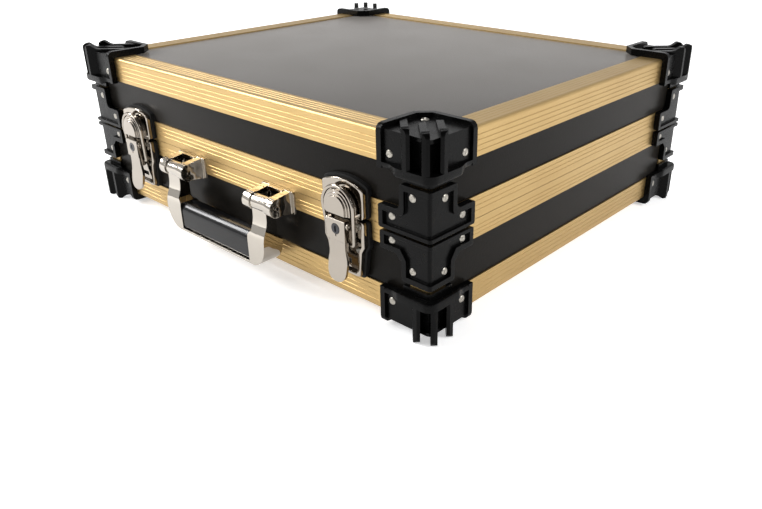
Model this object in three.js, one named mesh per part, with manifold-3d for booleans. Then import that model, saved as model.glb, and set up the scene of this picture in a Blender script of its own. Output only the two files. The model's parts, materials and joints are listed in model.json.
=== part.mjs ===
// A low stackable case: laminate panels in aluminium edge extrusions, a hinged lid,
// two locking draw latches, a drop handle and moulded corners whose fins interlock
// with those of the case above or below.
// Millimetres, +X to the right, -Y to the front, +Z up.
import * as THREE from 'three';
import Module from 'manifold-3d';
import { mergeVertices } from 'three/addons/utils/BufferGeometryUtils.js';

const wasm = await Module();
wasm.setup();

// Driving dimensions of the case body
const caseWidth = 450;
const caseDepth = 384;
const caseHeight = 142.5;
const lidShare = 0.495;
const seamGap = 0.4;
const cutOverrun = 2;
const fitGap = 0.3;

// Panels and lining
const panelThickness = 6;
const liningThickness = 3;

// Aluminium extrusions
const trimThickness = 1.3;
const edgeTrimWidth = 22.5;
const uprightWidth = 18;
const lidRimWidth = 18;
const baseRimWidth = 15.3;
const rimReturnWidth = 7.2;
const creaseRadius = 2.5;
const grooveDepth = 0.3;
const grooveWidth = 0.6;
const edgeGrooveCount = 4;
const rimGrooveCount = 3;
const postOverlap = 1;

// Finned stacking corners
const cornerReach = 43.5;
const cornerChamfer = 10.5;
const cornerSkirt = 24.7;
const cornerRimProud = 5.6;
const cornerWallProud = 3.2;
const collarDrop = 6.6;
const collarReach = 22.5;
const collarProud = 2.6;
const cornerRimWidth = 4.5;
const stackRise = 6.3;
const cornerPlate = 2.8;
const cornerEdgeRadius = 5;
const wallCornerRadius = 3;
const flangeDrop = 20.3;
const flangeSag = 2.6;
const flangeEdgeRadius = 2.2;
const flangeProud = 9;
const flangeRadius = 8;
const flangeWideEnd = 22;
const flangeNarrowStart = 33;
const finThickness = 5.2;
const finPitch = 12.4;
const finRidge = 2.4;
const finNoseLength = 12;
const finNoseTip = 6.3;
const finNoseClearance = 0.8;
const finRiseRadius = 8;
const finCrownRadius = 1.5;
const finFrontRadius = 4.4;
const finRidgeLength = 28;
const finPocketWall = 1;

// Corner brackets beside the seam
const bracketWideReach = 43.5;
const lidBracketNarrowReach = 23;
const lidBracketClearance = 7.6;
const lidBracketWideHeight = 18;
const baseBracketNarrowReach = 21.5;
const baseBracketClearance = 11.3;
const baseBracketWideHeight = 14.5;
const baseBracketKnee = 5.5;
const bracketSeamGap = 1;
const bracketRimWidth = 4.4;
const bracketSeamRim = 3;
const bracketRidgeRadius = 2.5;
const bracketInnerRadius = 4;
const bracketOuterRadius = 1.6;

// Draw latches: heights are drops from the seam, and out is the distance from the front face
const latchInset = 79;
const latchPadThickness = 3;
const latchPadBorder = 1.6;
const latchPlateWidth = 43.4;
const latchPlateThickness = 4;
const latchPlateCorner = 2.5;
const latchSeamGap = 0.8;
const catchHeight = 28;
const catchArch = 5;
const bossCentreRise = 7.5;
const bossFootRise = 3;
const bossRadius = 14;
const bossHeight = 6;
const bossLedgeRadius = 12;
const bossLedgeHeight = 0.9;
const bossFaceRadius = 9.8;
const bossFaceHeight = 1;
const plateBevel = 1;
const bevelShare = 0.3;
const strikeFootGap = 0.1;
const strikeWaistDrop = 20.5;
const strikeWaistSlope = 5;
const strikeWaistWidth = 37.2;
const strikeFootWidth = 32;
const strikeFloor = 1.5;
const strikeBorder = 3;
const strikeSlotWidth = 9;
const strikeSlotHeight = 4;
const strikeSlotRise = 8;
const earThickness = 1.7;
const earRadius = 3.4;
const earFoot = 7.5;
const leverPinOut = 11;
const leverPinDrop = 5;
const leverPinRadius = 1.4;
const pinClearance = 0.2;
const leverWidth = 19.4;
const leverSideGap = 0.4;
const leverTop = 4;
const leverBack = 4.1;
const leverFront = 4;
const leverEdgeRadius = 0.8;
const lockBoxHeight = 17.5;
const leverBodyHeight = 25.5;
const tongueThickness = 2.2;
const tongueStep = 1.2;
const tongueNeckInset = 1.3;
const tongueWaistWidth = 16.6;
const tongueWaistDrop = 20;
const tongueHipWidth = 20.6;
const tongueHipDrop = 31;
const tongueHipRadius = 5;
const tongueBendDrop = 28;
const tongueBendRadius = 20;
const tongueDrop = 47;
const tongueTipWidth = 19;
const tongueTipRadius = 8.8;
const tongueTipLift = 3.2;
const bailPinDrop = 16.5;
const bailPinInset = 1.6;
const bailPinDepth = 1.6;
const bailWireRadius = 1.5;
const bailHalfSpan = 16.2;
const bailFootHalfSpan = 13.8;
const bailHookOut = 17.4;
const bailBendRadius = 2.4;
const lockPlugRadius = 4.2;
const lockPlugDrop = 3.6;
const lockPlugProud = 0.3;
const lockPlugDepth = 2.1;
const keywayWidth = 1.7;
const keywayLength = 4.8;
const keywayDepth = 1.2;
const keyTailWidth = 1.1;
const keyTailLength = 2;

// Drop handle
const handleCentre = 62.5;
const handlePlateWidth = 41;
const handlePlateHeight = 19.6;
const handlePlateThickness = 2;
const handlePlateCorner = 2;
const handlePlateDrop = 0.8;
const handleCheekWidth = 8.6;
const handleCheekGap = 0.3;
const handleBarrelRadius = 8;
const handlePinOut = 17;
const handlePinDrop = 10.5;
const handlePinRadius = 1.7;
const handleWebInset = 1.2;
const handleBridgeReach = 5;
const handleBridgeThickness = 3;
const handleArmWidth = 18;
const handleArmDepth = 9.4;
const handleArmFront = 5;
const handleEyeRadius = 6.8;
const handleDrop = 56;
const handleCornerRadius = 22;
const handleSweepRadius = 26;
const handleSweepRise = 12;
const handleRailThickness = 3.8;
const handleShoulder = 4;
const gripLength = 99;
const gripDepth = 17.8;
const gripHeight = 24.4;
const gripTopRadius = 7.5;
const gripBackRadius = 5;
const gripFootRadius = 2.5;
const gripForward = 9.4;
const gripCupWall = 0.9;

// Butt hinges on the back
const hingeInset = 97;
const hingeLeafWidth = 40;
const hingeLeafThickness = 2;
const hingeLidLeafHeight = 16;
const hingeBaseLeafHeight = 13;
const hingeLeafCorner = 3;
const hingeLeafGap = 1;
const hingePinOut = 5.4;
const hingeKnuckleRadius = 3.2;
const hingeKnuckleWidth = 13;
const hingeKnuckleGap = 0.4;
const hingePinRadius = 1.6;
const hingePinHead = 1.2;

// Values that follow from the dimensions above
const halfWidth = caseWidth / 2;
const halfDepth = caseDepth / 2;
const lidHeight = caseHeight * lidShare;
const seamHeight = caseHeight - lidHeight;
const finNose = 2 * stackRise - cornerPlate - finNoseClearance;
const latchCentre = halfWidth - latchInset;
const hingeCentre = halfWidth - hingeInset;
const lidBracketHeight = lidHeight - cornerSkirt - bracketSeamGap - lidBracketClearance;
const baseBracketHeight = seamHeight - cornerSkirt - bracketSeamGap - baseBracketClearance;
const strikeHeight = seamHeight - latchSeamGap - edgeTrimWidth - latchPadBorder - strikeFootGap;
const lidRimFoot = seamHeight + seamGap / 2;
const baseRimHead = seamHeight - seamGap / 2;
const frontFace = -halfDepth;
const arcSteps = 4;

// Solids from three.js geometries, joined and cut
function toSolid(geometry) {
  const bare = new THREE.BufferGeometry();
  bare.setAttribute('position', geometry.getAttribute('position'));
  if (geometry.index) bare.setIndex(geometry.index);
  const welded = mergeVertices(bare);
  return new wasm.Manifold(new wasm.Mesh({
    numProp: 3,
    vertProperties: Float32Array.from(welded.getAttribute('position').array),
    triVerts: Uint32Array.from(welded.index.array),
  }));
}

function toGeometry(body) {
  const mesh = body.getMesh();
  const geometry = new THREE.BufferGeometry();
  geometry.setAttribute('position', new THREE.Float32BufferAttribute(mesh.vertProperties, 3));
  geometry.setIndex(new THREE.Uint32BufferAttribute(mesh.triVerts, 1));
  return geometry;
}

const join = (bodies) => bodies.reduce((whole, body) => whole.add(body));
const cut = (body, ...tools) => tools.reduce((whole, tool) => whole.subtract(tool), body);
const common = (body, ...others) => others.reduce((whole, other) => whole.intersect(other), body);

// Outlines: corners are [x, y] or [x, y, radius], and round corners become arcs
function roundedPoints(corners, steps = arcSteps) {
  const points = [];
  corners.forEach(([x, y, radius = 0], index) => {
    const corner = new THREE.Vector2(x, y);
    if (!radius) {
      points.push(corner);
      return;
    }
    const previous = corners[(index + corners.length - 1) % corners.length];
    const next = corners[(index + 1) % corners.length];
    const back = new THREE.Vector2(previous[0], previous[1]).sub(corner).normalize();
    const ahead = new THREE.Vector2(next[0], next[1]).sub(corner).normalize();
    const halfAngle = Math.acos(THREE.MathUtils.clamp(back.dot(ahead), -1, 1)) / 2;
    const centre = back.clone().add(ahead).normalize()
      .multiplyScalar(radius / Math.sin(halfAngle)).add(corner);
    const start = back.clone().multiplyScalar(radius / Math.tan(halfAngle)).add(corner).sub(centre);
    const sweep = Math.sign(ahead.cross(back)) * (Math.PI - 2 * halfAngle);
    for (let step = 0; step <= steps; step += 1) {
      points.push(start.clone().rotateAround(new THREE.Vector2(), sweep * step / steps).add(centre));
    }
  });
  return points;
}

const outline = (corners, steps) => new THREE.Shape(roundedPoints(corners, steps));

// Prisms along the three axes, and a box between two corners
function prismZ(shape, low, high) {
  return toSolid(new THREE.ExtrudeGeometry(shape, { depth: high - low, bevelEnabled: false })
    .translate(0, 0, low));
}

function prismX(shapeYZ, low, high) {
  const turn = new THREE.Matrix4().makeBasis(
    new THREE.Vector3(0, 1, 0), new THREE.Vector3(0, 0, 1), new THREE.Vector3(1, 0, 0));
  return toSolid(new THREE.ExtrudeGeometry(shapeYZ, { depth: high - low, bevelEnabled: false })
    .applyMatrix4(turn).translate(low, 0, 0));
}

function prismY(shapeXZ, low, high) {
  return toSolid(new THREE.ExtrudeGeometry(shapeXZ, { depth: high - low, bevelEnabled: false })
    .rotateX(Math.PI / 2).translate(0, high, 0));
}

function box(x0, x1, y0, y1, z0, z1) {
  return toSolid(new THREE.BoxGeometry(x1 - x0, y1 - y0, z1 - z0)
    .translate((x0 + x1) / 2, (y0 + y1) / 2, (z0 + z1) / 2));
}

function rodX(radius, x0, x1, y, z, sides = 16) {
  return toSolid(new THREE.CylinderGeometry(radius, radius, x1 - x0, sides)
    .rotateZ(Math.PI / 2).translate((x0 + x1) / 2, y, z));
}

function rodY(radius, y0, y1, x, z, sides = 20) {
  return toSolid(new THREE.CylinderGeometry(radius, radius, y1 - y0, sides)
    .translate(x, (y0 + y1) / 2, z));
}

// A solid through outlines that have equally many points, each at its own level
function loft(rings, place) {
  const count = rings[0].length;
  const last = count * (rings.length - 1);
  const corners = rings.flatMap((ring) => ring.flatMap((point) => place(...point)));
  const faces = [];
  for (let low = 0; low < last; low += count) {
    for (let index = 0; index < count; index += 1) {
      const after = (index + 1) % count;
      const high = low + count;
      faces.push(low + index, low + after, high + after, low + index, high + after, high + index);
    }
  }
  const flat = rings[0].map(([x, y]) => new THREE.Vector2(x, y));
  for (const [first, second, third] of THREE.ShapeUtils.triangulateShape(flat, [])) {
    faces.push(third, second, first, last + first, last + second, last + third);
  }
  const geometry = new THREE.BufferGeometry();
  geometry.setAttribute('position', new THREE.Float32BufferAttribute(corners, 3));
  geometry.setIndex(faces);
  return toSolid(geometry);
}

// A solid mirrored to another corner of the case, with its faces kept outward
function mirrored(geometry, signX, signY, signZ) {
  const copy = geometry.clone().scale(signX, signY, signZ);
  if (signX * signY * signZ < 0) {
    const index = copy.index.array;
    for (let face = 0; face < index.length; face += 3) {
      [index[face], index[face + 1]] = [index[face + 1], index[face]];
    }
  }
  return copy;
}

// Materials, one for each mesh
const finishes = {
  laminate: { color: 0x26262a, roughness: 0.55, metalness: 0 },
  anodised: { color: 0xd8b878, roughness: 0.38, metalness: 0.85 },
  moulding: { color: 0x17181a, roughness: 0.45, metalness: 0 },
  chrome: { color: 0xd6d6d4, roughness: 0.12, metalness: 1 },
  rubber: { color: 0x101012, roughness: 0.8, metalness: 0 },
  grip: { color: 0x1c1c1e, roughness: 0.35, metalness: 0 },
  lock: { color: 0x232325, roughness: 0.4, metalness: 0.3 },
  foam: { color: 0x3a3a3d, roughness: 0.95, metalness: 0 },
};

const group = new THREE.Group();

function addPiece(name, finish, geometry) {
  const material = new THREE.MeshStandardMaterial({ ...finishes[finish], flatShading: true });
  const mesh = new THREE.Mesh(geometry, material);
  mesh.name = name;
  group.add(mesh);
  return mesh;
}

// Panels: the top and bottom run across the side panels
function addPanels() {
  const outerX = halfWidth - trimThickness;
  const outerY = halfDepth - trimThickness;
  const innerX = outerX - panelThickness;
  const innerY = outerY - panelThickness;
  const shells = [
    { prefix: 'lid', skin: 'lid_top_panel', low: lidRimFoot + trimThickness,
      high: caseHeight - trimThickness - panelThickness, cap: caseHeight - trimThickness },
    { prefix: 'base', skin: 'base_bottom_panel', low: trimThickness + panelThickness,
      high: baseRimHead - trimThickness, cap: trimThickness },
  ];
  for (const shell of shells) {
    const flat = shell.prefix === 'lid' ? [shell.high, shell.cap] : [shell.cap, shell.low];
    addPiece(shell.skin, 'laminate', toGeometry(box(-outerX, outerX, -outerY, outerY, ...flat)));
    const heights = [shell.low, shell.high];
    const sides = {
      front: [-outerX, outerX, -outerY, -innerY],
      back: [-outerX, outerX, innerY, outerY],
      left: [-outerX, -innerX, -innerY, innerY],
      right: [innerX, outerX, -innerY, innerY],
    };
    for (const [side, plan] of Object.entries(sides)) {
      addPiece(`${shell.prefix}_${side}_panel`, 'laminate', toGeometry(box(...plan, ...heights)));
    }
  }
}

// Linings: foam tubs that fill the walls' inside faces
function addLinings() {
  const outerX = halfWidth - trimThickness - panelThickness;
  const outerY = halfDepth - trimThickness - panelThickness;
  const innerX = outerX - liningThickness;
  const innerY = outerY - liningThickness;
  const depth = trimThickness + panelThickness;
  const lidTop = caseHeight - depth;
  const lidTub = cut(
    box(-outerX, outerX, -outerY, outerY, lidRimFoot + rimReturnWidth / 2, lidTop),
    box(-innerX, innerX, -innerY, innerY, seamHeight - cutOverrun, lidTop - liningThickness));
  const baseTub = cut(
    box(-outerX, outerX, -outerY, outerY, depth, baseRimHead - rimReturnWidth / 2),
    box(-innerX, innerX, -innerY, innerY, depth + liningThickness, seamHeight + cutOverrun));
  addPiece('lid_lining', 'foam', toGeometry(lidTub));
  addPiece('base_lining', 'foam', toGeometry(baseTub));
}

// One face of an extrusion, from its crease to its edge, with V grooves along it
function groovedRun(length, count, place) {
  const points = [];
  const spacing = (length - creaseRadius) / (count + 1);
  for (let groove = 1; groove <= count; groove += 1) {
    const middle = creaseRadius + spacing * groove;
    points.push(place(middle - grooveWidth / 2, 0));
    points.push(place(middle, grooveDepth));
    points.push(place(middle + grooveWidth / 2, 0));
  }
  return points;
}

// The edge angle in (inboard, height below the top face), and the rim angle beside the seam
function edgeProfile() {
  const down = groovedRun(edgeTrimWidth, edgeGrooveCount, (along, depth) => [depth, -along]).reverse();
  const across = groovedRun(edgeTrimWidth, edgeGrooveCount, (along, depth) => [along, -depth]);
  return roundedPoints([
    [trimThickness, -edgeTrimWidth], [0, -edgeTrimWidth], ...down,
    [0, 0, creaseRadius], ...across,
    [edgeTrimWidth, 0], [edgeTrimWidth, -trimThickness], [trimThickness, -trimThickness],
  ], 3);
}

function rimProfile(width) {
  const up = groovedRun(width, rimGrooveCount, (along, depth) => [depth, along]);
  return roundedPoints([
    [0, 0], ...up, [0, width], [trimThickness, width], [trimThickness, trimThickness],
    [rimReturnWidth, trimThickness], [rimReturnWidth, 0],
  ]);
}

// An extrusion mitred into a frame: the profile, in (inboard, height), at the four corners
function mitredFrame(profile, height, sign) {
  const corners = [[-1, -1], [1, -1], [1, 1], [-1, 1]];
  const place = corners.flatMap(([signX, signY]) => profile.flatMap((point) => [
    signX * (halfWidth - point.x), signY * (halfDepth - point.x), height + sign * point.y]));
  const count = profile.length;
  const faces = [];
  corners.forEach((corner, turn) => {
    const here = turn * count;
    const next = ((turn + 1) % corners.length) * count;
    profile.forEach((point, index) => {
      const after = (index + 1) % count;
      faces.push(here + index, next + index, next + after, here + index, next + after, here + after);
    });
  });
  const clockwise = THREE.ShapeUtils.area(profile) < 0;
  const geometry = new THREE.BufferGeometry();
  geometry.setAttribute('position', new THREE.Float32BufferAttribute(place, 3));
  geometry.setIndex(clockwise === (sign > 0) ? faces : faces.reverse());
  return toSolid(geometry);
}

// Uprights cover the corners of the panels and join the edge frame of their half
function uprights(low, high) {
  const angle = outline([
    [0, uprightWidth], [0, 0, creaseRadius], [uprightWidth, 0],
    [uprightWidth, trimThickness], [trimThickness, trimThickness], [trimThickness, uprightWidth],
  ]);
  const upright = toGeometry(prismZ(angle, low, high)).translate(-halfWidth, -halfDepth, 0);
  return [[1, 1], [-1, 1], [1, -1], [-1, -1]]
    .map(([signX, signY]) => toSolid(mirrored(upright, signX, signY, 1)));
}

function addTrims() {
  const lidPosts = uprights(lidRimFoot + lidRimWidth, caseHeight - edgeTrimWidth + postOverlap);
  const basePosts = uprights(edgeTrimWidth - postOverlap, baseRimHead - baseRimWidth);
  addPiece('lid_edge_frame', 'anodised',
    toGeometry(join([mitredFrame(edgeProfile(), caseHeight, 1), ...lidPosts])));
  addPiece('base_edge_frame', 'anodised',
    toGeometry(join([mitredFrame(edgeProfile(), 0, -1), ...basePosts])));
  addPiece('lid_rim_frame', 'anodised', toGeometry(mitredFrame(rimProfile(lidRimWidth), lidRimFoot, 1)));
  addPiece('base_rim_frame', 'anodised', toGeometry(mitredFrame(rimProfile(baseRimWidth), baseRimHead, -1)));
}

// The moulded corners are made for the front right top corner, with the corner of the
// extrusions at the origin, +X and -Y outward and +Z up.
const extrusionCorner = () => box(-caseWidth, 0, 0, caseDepth, -caseHeight, 0);

function cornerPlan(proud, radius) {
  return outline([
    [-cornerReach, -proud], [proud, -proud, radius], [proud, cornerReach],
    [cornerChamfer - cornerReach, cornerReach], [-cornerReach, cornerReach - cornerChamfer],
  ], 2);
}

// The rim follows the inboard edge over the top and down the ends of both legs
function cornerRim() {
  const inset = cornerReach - cornerRimWidth;
  const insetChamfer = cornerReach - cornerChamfer - cornerRimWidth * (Math.SQRT2 - 1);
  const beyond = caseDepth;
  const inner = outline([
    [-inset, -beyond], [beyond, -beyond], [beyond, inset], [-insetChamfer, inset], [-inset, insetChamfer],
  ]);
  const low = -cornerSkirt;
  const band = prismZ(cornerPlan(cornerRimProud, wallCornerRadius), low, stackRise);
  const overFront = outline([
    [-cornerRimProud, low], [-cornerRimProud, stackRise, cornerEdgeRadius],
    [beyond, stackRise], [beyond, low],
  ], 3);
  const overSide = outline([
    [cornerRimProud, low], [cornerRimProud, stackRise, cornerEdgeRadius],
    [-beyond, stackRise], [-beyond, low],
  ], 3);
  return common(
    cut(band, prismZ(inner, low - cutOverrun, stackRise + cutOverrun)),
    prismX(overFront, -beyond, beyond), prismY(overSide, -beyond, beyond));
}

// The lower flange swells in an S curve from the leg ends to the round corner
function flangePoints(inset) {
  const steps = 4;
  const swell = [];
  for (let step = 0; step <= steps; step += 1) {
    const share = step / steps;
    const along = THREE.MathUtils.lerp(flangeNarrowStart, flangeWideEnd, share);
    const proud = THREE.MathUtils.lerp(cornerRimProud, flangeProud, (1 - Math.cos(Math.PI * share)) / 2);
    swell.push([along, proud - inset]);
  }
  const front = swell.map(([along, proud]) => [-along, -proud]);
  const side = swell.map(([along, proud]) => [proud, along]).reverse();
  const far = flangeProud - inset;
  const near = cornerRimProud - inset;
  return roundedPoints([
    [-cornerReach, -near], ...front, [far, -far, flangeRadius - inset], ...side, [near, cornerReach],
    [cornerChamfer - cornerReach, cornerReach], [-cornerReach, cornerReach - cornerChamfer],
  ], 4);
}

const flangePlan = () => new THREE.Shape(flangePoints(0));

// It hangs lower where it swells, and its lower edge is round
function cornerFlange() {
  const steps = 2;
  const foot = (x, y) => {
    const share = THREE.MathUtils.smoothstep(-Math.max(-x, y), -flangeNarrowStart, -flangeWideEnd);
    return -cornerSkirt - flangeSag * share;
  };
  const rings = [];
  for (let step = 0; step <= steps; step += 1) {
    const angle = Math.PI / 2 * step / steps;
    const inset = flangeEdgeRadius * (1 - Math.sin(angle));
    const rise = flangeEdgeRadius * (1 - Math.cos(angle));
    rings.push(flangePoints(inset).map(({ x, y }) => [x, y, foot(x, y) + rise]));
  }
  rings.push(flangePoints(0).map(({ x, y }) => [x, y, -flangeDrop]));
  return loft(rings, (x, y, height) => [x, y, height]);
}

// Beyond the flange a thinner collar covers the end of the upright
function cornerCollar() {
  const plan = outline([
    [-collarReach, -collarProud], [collarProud, -collarProud, wallCornerRadius],
    [collarProud, collarReach], [-collarReach, collarReach],
  ], 2);
  return prismZ(plan, -cornerSkirt - collarDrop, -flangeDrop);
}

// How far the flange's outline lies from the corner, along the diagonal, at an offset from it
function flangeEdge(offset) {
  const tangent = flangeRadius * Math.SQRT1_2;
  if (Math.abs(offset) > tangent) return flangeProud * Math.SQRT2 - Math.abs(offset);
  return (flangeProud - flangeRadius) * Math.SQRT2 + Math.sqrt(flangeRadius ** 2 - offset ** 2);
}

// An upright blade along the diagonal: a low ridge on the plate that rises to a round nose
function cornerFin(offset) {
  const outer = flangeEdge(offset);
  const noseStart = outer - finNoseLength;
  const ridgeTop = cornerPlate + finRidge;
  const foot = -flangeDrop - flangeEdgeRadius / 2;
  const profile = outline([
    [noseStart - finRidgeLength, foot], [noseStart - finRidgeLength, ridgeTop, finRidge],
    [noseStart, ridgeTop, finRiseRadius], [outer - finNoseTip, finNose, finCrownRadius],
    [outer, finNose, finFrontRadius], [outer, foot],
  ], 3);
  const blade = prismY(profile, offset - finThickness / 2, offset + finThickness / 2);
  return toSolid(toGeometry(blade).rotateZ(-Math.PI / 4));
}

// The wall is cored out between two neighbouring fins
function finPocket(offset) {
  const halfGap = (finPitch - finThickness) / 2;
  const middle = offset + finPitch / 2;
  const slot = box(-cornerReach, cornerReach, middle - halfGap, middle + halfGap,
    -flangeDrop, 0);
  const turned = toSolid(toGeometry(slot).rotateZ(-Math.PI / 4));
  const wall = box(-caseWidth, finPocketWall, -finPocketWall, caseDepth, -caseHeight, caseHeight);
  return cut(turned, wall);
}

function stackingCorner(offsets) {
  const shell = prismZ(cornerPlan(cornerWallProud, wallCornerRadius), -cornerSkirt, cornerPlate);
  const pockets = offsets.slice(0, -1).map(finPocket);
  const fins = common(join(offsets.map(cornerFin)), prismZ(flangePlan(), -cornerSkirt, finNose));
  const body = join([cut(shell, ...pockets), cornerRim(), cornerFlange(), cornerCollar(), fins]);
  return toGeometry(cut(body, extrusionCorner()));
}

// Each corner of the case: a name and the signs that mirror the front right one onto it
const caseCorners = [
  { name: 'front_right', signX: 1, signY: 1 },
  { name: 'front_left', signX: -1, signY: 1 },
  { name: 'back_right', signX: 1, signY: -1 },
  { name: 'back_left', signX: -1, signY: -1 },
];

const atCorner = (geometry, corner, signZ, height) => mirrored(geometry, corner.signX, corner.signY, signZ)
  .translate(corner.signX * halfWidth, -corner.signY * halfDepth, height);

// All eight corners are one moulding turned round the case. Its fins stand a quarter pitch off
// the diagonal, so those of the case above fall between them.
function addStackingCorners() {
  const quarter = finPitch / 4;
  const lower = [-finPitch - quarter, -quarter, finPitch - quarter];
  const upper = [quarter - finPitch, quarter, finPitch + quarter];
  const towards = { 1: stackingCorner(lower), [-1]: stackingCorner(upper) };
  for (const corner of caseCorners) {
    addPiece(`lid_corner_${corner.name}`, 'moulding',
      atCorner(towards[corner.signX * corner.signY], corner, 1, caseHeight));
    addPiece(`base_corner_${corner.name}`, 'moulding',
      atCorner(towards[-corner.signX * corner.signY], corner, -1, 0));
  }
}

// A seam bracket wraps the corner: a recessed wall inside a raised rim, on both faces
function seamBracket(border, recess) {
  const wrapped = (corners, proud, inner) => {
    const reachOut = corners.map(([along, height, radius]) => [-along, height, radius]);
    const sideways = corners.map(([along, height, radius]) => [along, height, radius]);
    const depth = inner + proud;
    return join([
      prismY(outline(reachOut, 2), -proud, depth),
      prismX(outline(sideways, 2), -depth, proud),
    ]);
  };
  const skin = (proud, radius) => prismZ(outline([
    [-caseWidth, -proud], [proud, -proud, radius], [proud, caseDepth], [-caseWidth, caseDepth],
  ], 3), -cutOverrun, caseHeight + cutOverrun);
  const outer = common(wrapped(border, cornerRimProud, panelThickness), skin(cornerRimProud, bracketRidgeRadius));
  const sunk = cut(wrapped(recess, cornerRimProud + cutOverrun, panelThickness),
    skin(cornerWallProud, bracketRidgeRadius));
  const behind = box(-caseWidth, 0, 0, caseDepth, -cutOverrun, caseHeight + cutOverrun);
  return toGeometry(cut(outer, sunk, behind));
}

const bracketPast = -cornerRimProud - cutOverrun;

function lidBracket() {
  const foot = seamHeight + bracketSeamGap;
  const shoulder = foot + lidBracketWideHeight;
  const head = foot + lidBracketHeight;
  const round = bracketOuterRadius;
  const border = [
    [bracketPast, foot], [bracketWideReach, foot, round], [bracketWideReach, shoulder, round],
    [lidBracketNarrowReach, shoulder, bracketInnerRadius], [lidBracketNarrowReach, head, round],
    [bracketPast, head],
  ];
  const rim = bracketRimWidth;
  const recess = [
    [bracketPast - cutOverrun, foot + bracketSeamRim], [bracketWideReach - rim, foot + bracketSeamRim],
    [bracketWideReach - rim, shoulder - rim],
    [lidBracketNarrowReach - rim, shoulder - rim, bracketInnerRadius],
    [lidBracketNarrowReach - rim, head - rim], [bracketPast - cutOverrun, head - rim],
  ];
  return seamBracket(border, recess);
}

function baseBracket() {
  const head = seamHeight - bracketSeamGap;
  const shoulder = head - baseBracketWideHeight;
  const foot = head - baseBracketHeight;
  const rim = bracketRimWidth;
  const reach = bracketWideReach - bracketSeamGap;
  const round = bracketOuterRadius;
  const border = [
    [bracketPast, foot], [baseBracketNarrowReach, foot, round],
    [baseBracketNarrowReach, shoulder - baseBracketKnee],
    [baseBracketNarrowReach + baseBracketKnee, shoulder],
    [reach, shoulder, round], [reach, head, round], [bracketPast, head],
  ];
  const inner = baseBracketNarrowReach - rim;
  const recess = [
    [bracketPast - cutOverrun, foot + rim], [inner, foot + rim],
    [inner, shoulder - baseBracketKnee + rim / 2], [inner + baseBracketKnee, shoulder + rim],
    [reach - rim, shoulder + rim], [reach - rim, head - bracketSeamRim],
    [bracketPast - cutOverrun, head - bracketSeamRim],
  ];
  return seamBracket(border, recess);
}

function addSeamBrackets() {
  const shapes = { lid: lidBracket(), base: baseBracket() };
  for (const corner of caseCorners) {
    for (const [prefix, shape] of Object.entries(shapes)) {
      addPiece(`${prefix}_bracket_${corner.name}`, 'moulding', atCorner(shape, corner, 1, 0));
    }
  }
}

// Pieces on the front: outlines in (x, height) and side profiles in (out, height)
const onFront = (shape, nearOut, farOut) => prismY(shape, frontFace - farOut, frontFace - nearOut);

const sideways = (corners, x0, x1, steps) => prismX(
  outline(corners.map(([out, height, radius]) => [frontFace - out, height, radius]), steps), x0, x1);

const crossRod = (radius, x0, x1, out, height, sides) => rodX(radius, x0, x1, frontFace - out, height, sides);

function archPoints(radius, centre, steps) {
  const points = [];
  for (let step = 0; step <= steps; step += 1) {
    const angle = Math.PI * step / steps;
    points.push([radius * Math.cos(angle), centre + radius * Math.sin(angle)]);
  }
  return points;
}

// Places in the latch that several of its pieces share
const latchFloorOut = latchPadThickness + strikeFloor;
const latchFaceOut = latchPadThickness + latchPlateThickness;
const catchFoot = seamHeight + latchSeamGap;
const strikeHead = seamHeight - latchSeamGap;
const leverPinHeight = seamHeight - leverPinDrop;
const leverCrown = leverPinHeight + leverTop;
const leverFrontOut = leverPinOut + leverFront;
const bailPinOut = leverPinOut - bailPinInset;
const bailPinHeight = leverPinHeight - bailPinDrop;
const lockPlugHeight = leverPinHeight - lockPlugDrop;

function catchOutline(border) {
  const half = latchPlateWidth / 2 + border;
  const arch = catchArch;
  const shoulder = catchFoot + catchHeight - arch + border;
  const sweepRadius = (half ** 2 + arch ** 2) / (2 * arch);
  const steps = 8;
  const reach = Math.asin(half / sweepRadius);
  const crown = [];
  for (let step = 1; step < steps; step += 1) {
    const angle = reach - 2 * reach * step / steps;
    crown.push([sweepRadius * Math.sin(angle), shoulder + arch - sweepRadius * (1 - Math.cos(angle))]);
  }
  return outline([
    [-half, catchFoot, latchPlateCorner], [half, catchFoot, latchPlateCorner],
    [half, shoulder, latchPlateCorner], ...crown, [-half, shoulder, latchPlateCorner],
  ], 2);
}

function strikeOutline(border) {
  const half = latchPlateWidth / 2 + border;
  const waist = strikeWaistWidth / 2 + border;
  const foot = strikeFootWidth / 2 + border;
  const bottom = strikeHead - strikeHeight - border;
  const bend = strikeHead - strikeWaistDrop;
  const corners = [
    [half, strikeHead, latchPlateCorner], [half, bend], [waist, bend - strikeWaistSlope],
    [foot, bottom, latchPlateCorner],
  ];
  return outline([...corners, ...corners.map(([x, ...rest]) => [-x, ...rest]).reverse()], 2);
}

// A plate on the front whose outer edge is bevelled
function bevelledPlate(outlineAt) {
  const ring = (inset, out) => {
    const points = outlineAt(-inset).getPoints();
    const upright = THREE.ShapeUtils.isClockWise(points) ? points.reverse() : points;
    return upright.map(({ x, y }) => [x, y, out]);
  };
  const rings = [
    ring(0, latchPadThickness), ring(0, latchFaceOut - plateBevel),
    ring(plateBevel * bevelShare, latchFaceOut - plateBevel * bevelShare), ring(plateBevel, latchFaceOut),
  ];
  return loft(rings, (x, height, out) => [x, frontFace - out, height]);
}

// A rubber pad fills the step from the rim frame down to the laminate
function latchPad(shape, stepLow, stepHigh) {
  const block = onFront(shape, -trimThickness, latchPadThickness);
  const step = box(-latchPlateWidth, latchPlateWidth, frontFace, frontFace + cutOverrun + trimThickness,
    stepLow, stepHigh);
  return cut(block, step);
}

function bossStep(radius, nearOut, farOut) {
  const foot = seamHeight + bossFootRise;
  const arch = archPoints(radius, seamHeight + bossCentreRise, 12);
  return onFront(outline([[-radius, foot], [radius, foot], ...arch]), nearOut, farOut);
}

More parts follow.
